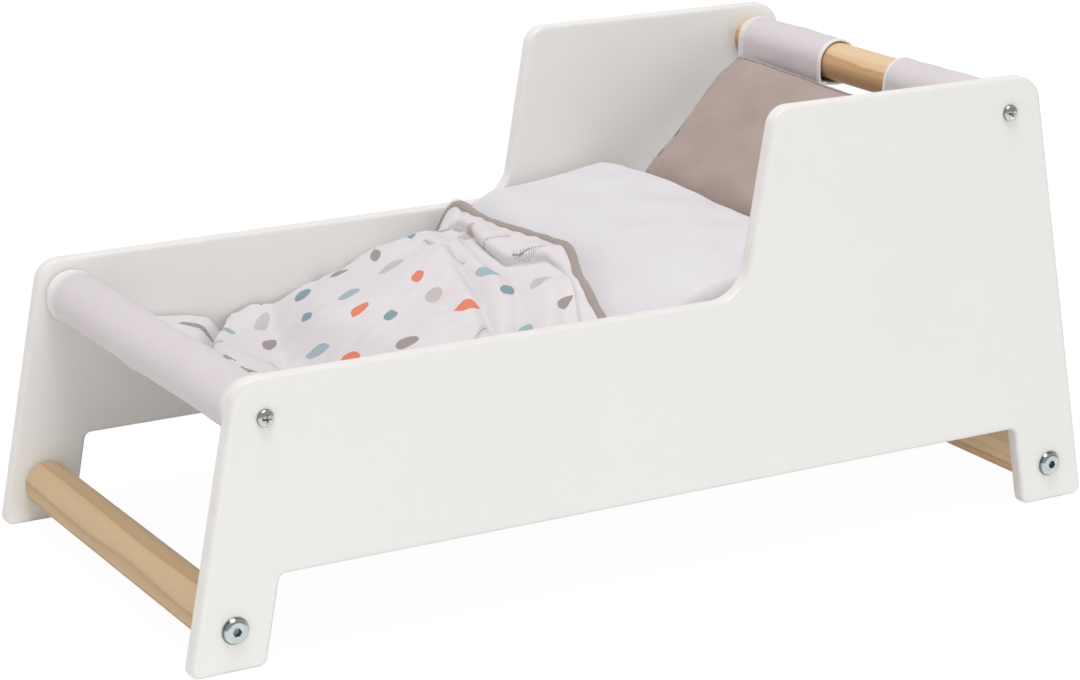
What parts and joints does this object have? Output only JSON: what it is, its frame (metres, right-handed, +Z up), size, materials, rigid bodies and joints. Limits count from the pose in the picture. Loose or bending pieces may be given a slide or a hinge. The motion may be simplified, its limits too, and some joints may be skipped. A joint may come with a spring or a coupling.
{
  "type": "doll bed",
  "caption": "Doll bed with stepped side panels on splayed legs, round rails, a hung fabric sling, a mattress, a pillow and a bound blanket.",
  "frame": {"origin": "on the floor, under the middle of the overall box", "axes": "+X towards the head end, +Y towards the left side panel, +Z up"},
  "size_m": [0.5913, 0.2866, 0.2657],
  "materials": {
    "panel_paint": "fibreboard with smooth white lacquer",
    "rail_wood": "turned wood, clear and matt",
    "bolt_zinc": "zinc plated",
    "insert_zinc": "yellow zinc plated",
    "screw_zinc": "zinc plated",
    "sling_cloth": "padded cotton, pale lilac grey",
    "mattress_cover": "soft white cotton",
    "pillow_cloth": "plain taupe cotton",
    "blanket_print": "white cotton with a small coloured print",
    "binding_tape": "taupe bias tape"
  },
  "bodies": {
    "frame": {"side_panel_right": "panel_paint", "side_panel_left": "panel_paint", "foot_low_rail": "rail_wood", "head_low_rail": "rail_wood", "foot_top_rail": "rail_wood", "head_top_rail": "rail_wood", "rail_bolt_foot_right": "bolt_zinc", "threaded_insert_foot_right": "insert_zinc", "rail_screw_foot_right": "screw_zinc", "rail_bolt_foot_left": "bolt_zinc", "threaded_insert_foot_left": "insert_zinc", "rail_screw_foot_left": "screw_zinc", "rail_bolt_head_right": "bolt_zinc", "threaded_insert_head_right": "insert_zinc", "rail_screw_head_right": "screw_zinc", "rail_bolt_head_left": "bolt_zinc", "threaded_insert_head_left": "insert_zinc", "rail_screw_head_left": "screw_zinc", "fabric_sling": "sling_cloth"},
    "mattress": {"mattress": "mattress_cover"},
    "blanket": {"blanket": "blanket_print", "blanket_binding": "binding_tape"},
    "pillow": {"pillow": "pillow_cloth"}
  },
  "joints": [
    {"name": "mattress_lift", "type": "slide", "parent": "frame", "child": "mattress", "axis": [0, 0, 1], "range_m": [0, 0.2]},
    {"name": "blanket_lift", "type": "slide", "parent": "mattress", "child": "blanket", "axis": [0, 0, 1], "range_m": [0, 0.19]},
    {"name": "pillow_lift", "type": "slide", "parent": "frame", "child": "pillow", "axis": [0, 0, 1], "range_m": [0, 0.14]}
  ]
}
